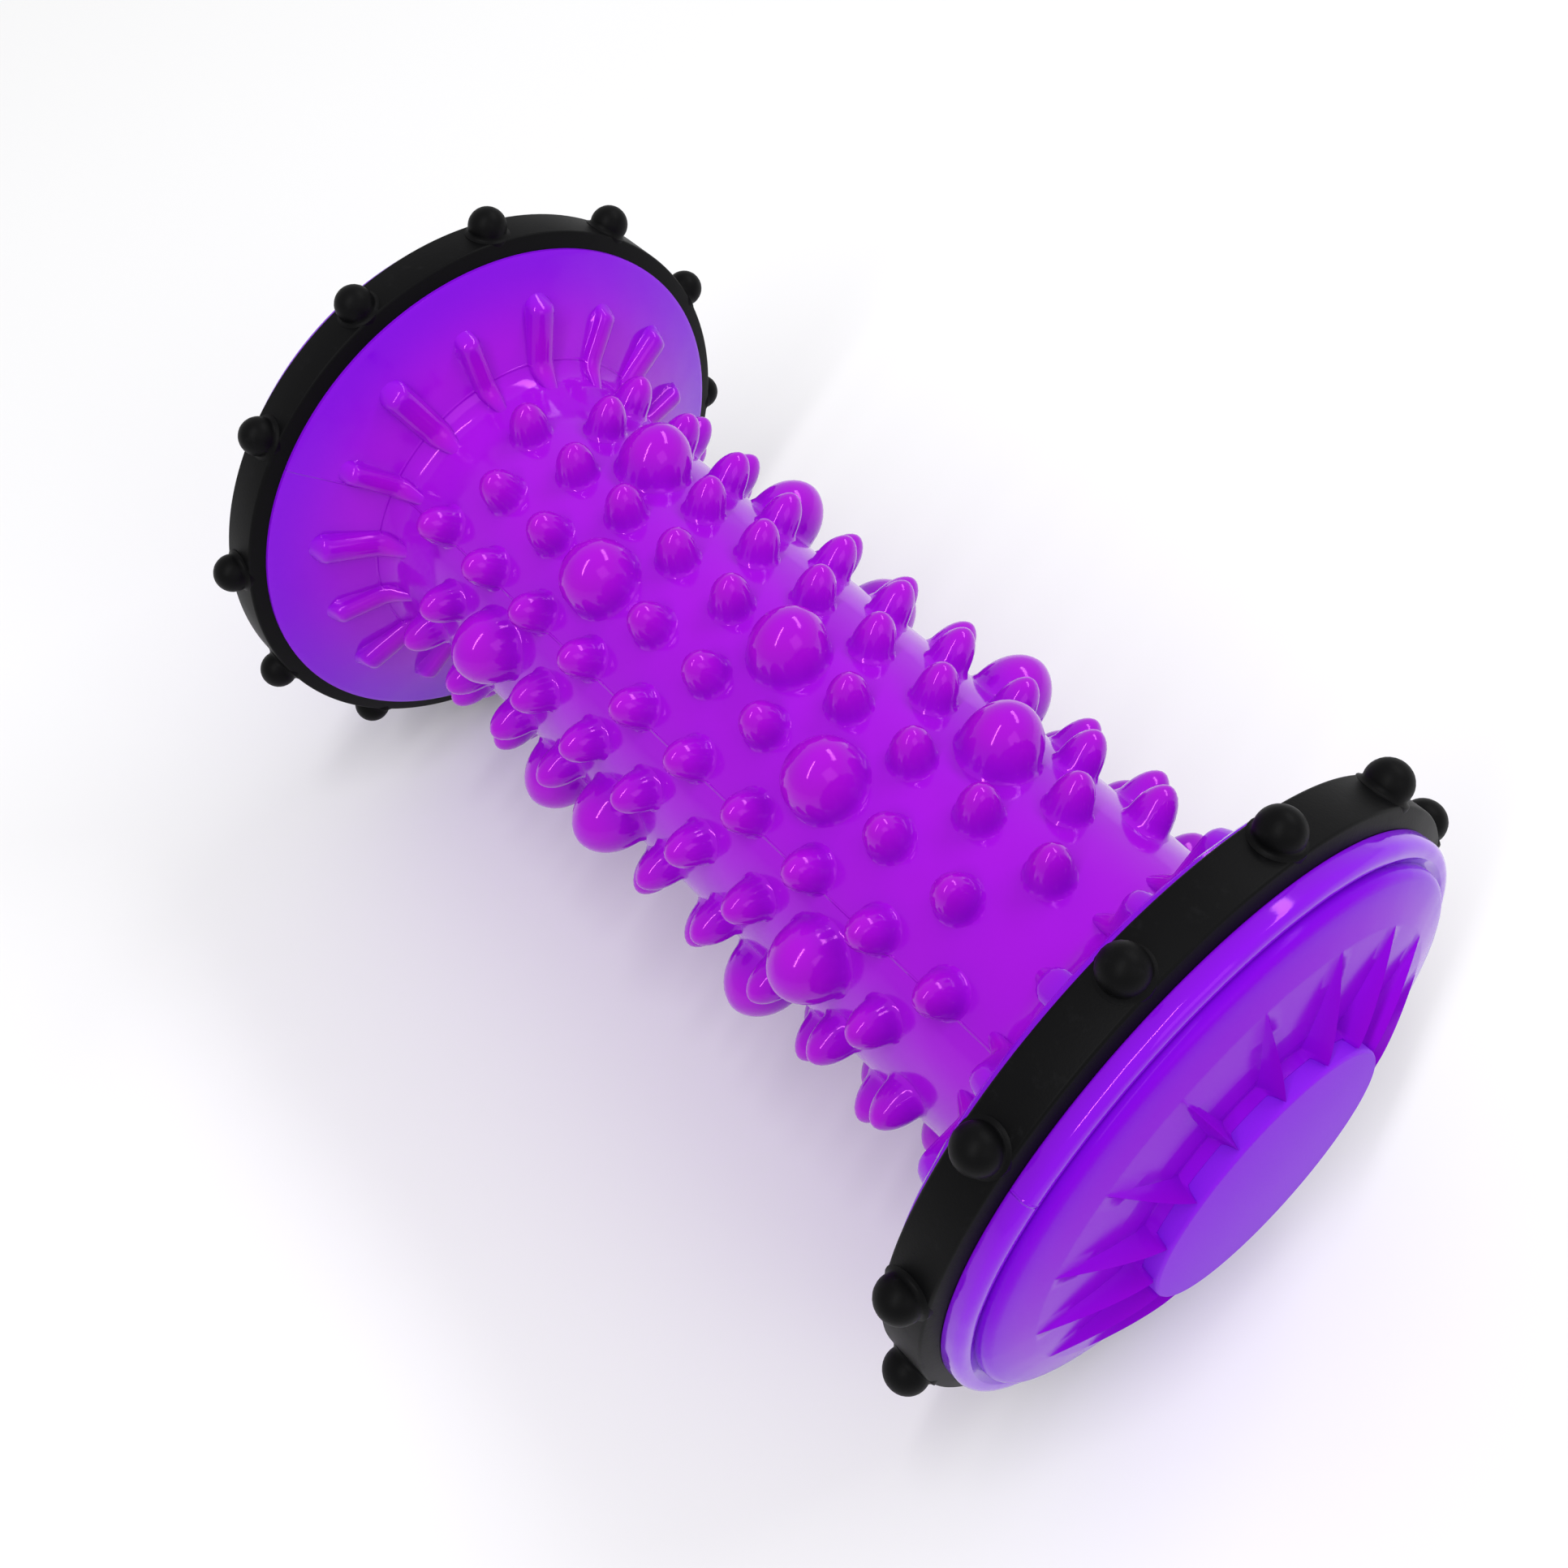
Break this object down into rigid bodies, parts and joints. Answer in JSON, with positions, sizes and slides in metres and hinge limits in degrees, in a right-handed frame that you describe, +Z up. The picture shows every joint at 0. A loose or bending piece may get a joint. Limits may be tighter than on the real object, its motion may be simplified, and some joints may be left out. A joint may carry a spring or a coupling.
{
  "type": "foot massage roller",
  "caption": "Rolling foot massager: a soft purple nubbed sleeve with flared ends, black studded rubber rings and ribbed end caps.",
  "frame": {"origin": "middle of the roller, on its axis", "axes": "+X along the roller's axis towards the right end, +Z up, +Y towards the back"},
  "size_m": [0.15, 0.0802, 0.0802],
  "materials": {
    "soft_purple": "glossy, slightly translucent soft moulding",
    "cap_plastic": "gloss",
    "hub_plastic": "matt",
    "black_rubber": "satin",
    "core_plastic": "matt"
  },
  "bodies": {
    "root": {"massage_sleeve": "soft_purple", "core_tube": "core_plastic", "left_tyre": "black_rubber", "right_tyre": "black_rubber", "left_end_cap": "cap_plastic", "right_end_cap": "cap_plastic", "left_hub_plug": "hub_plastic", "right_hub_plug": "hub_plastic"}
  },
  "joints": []
}
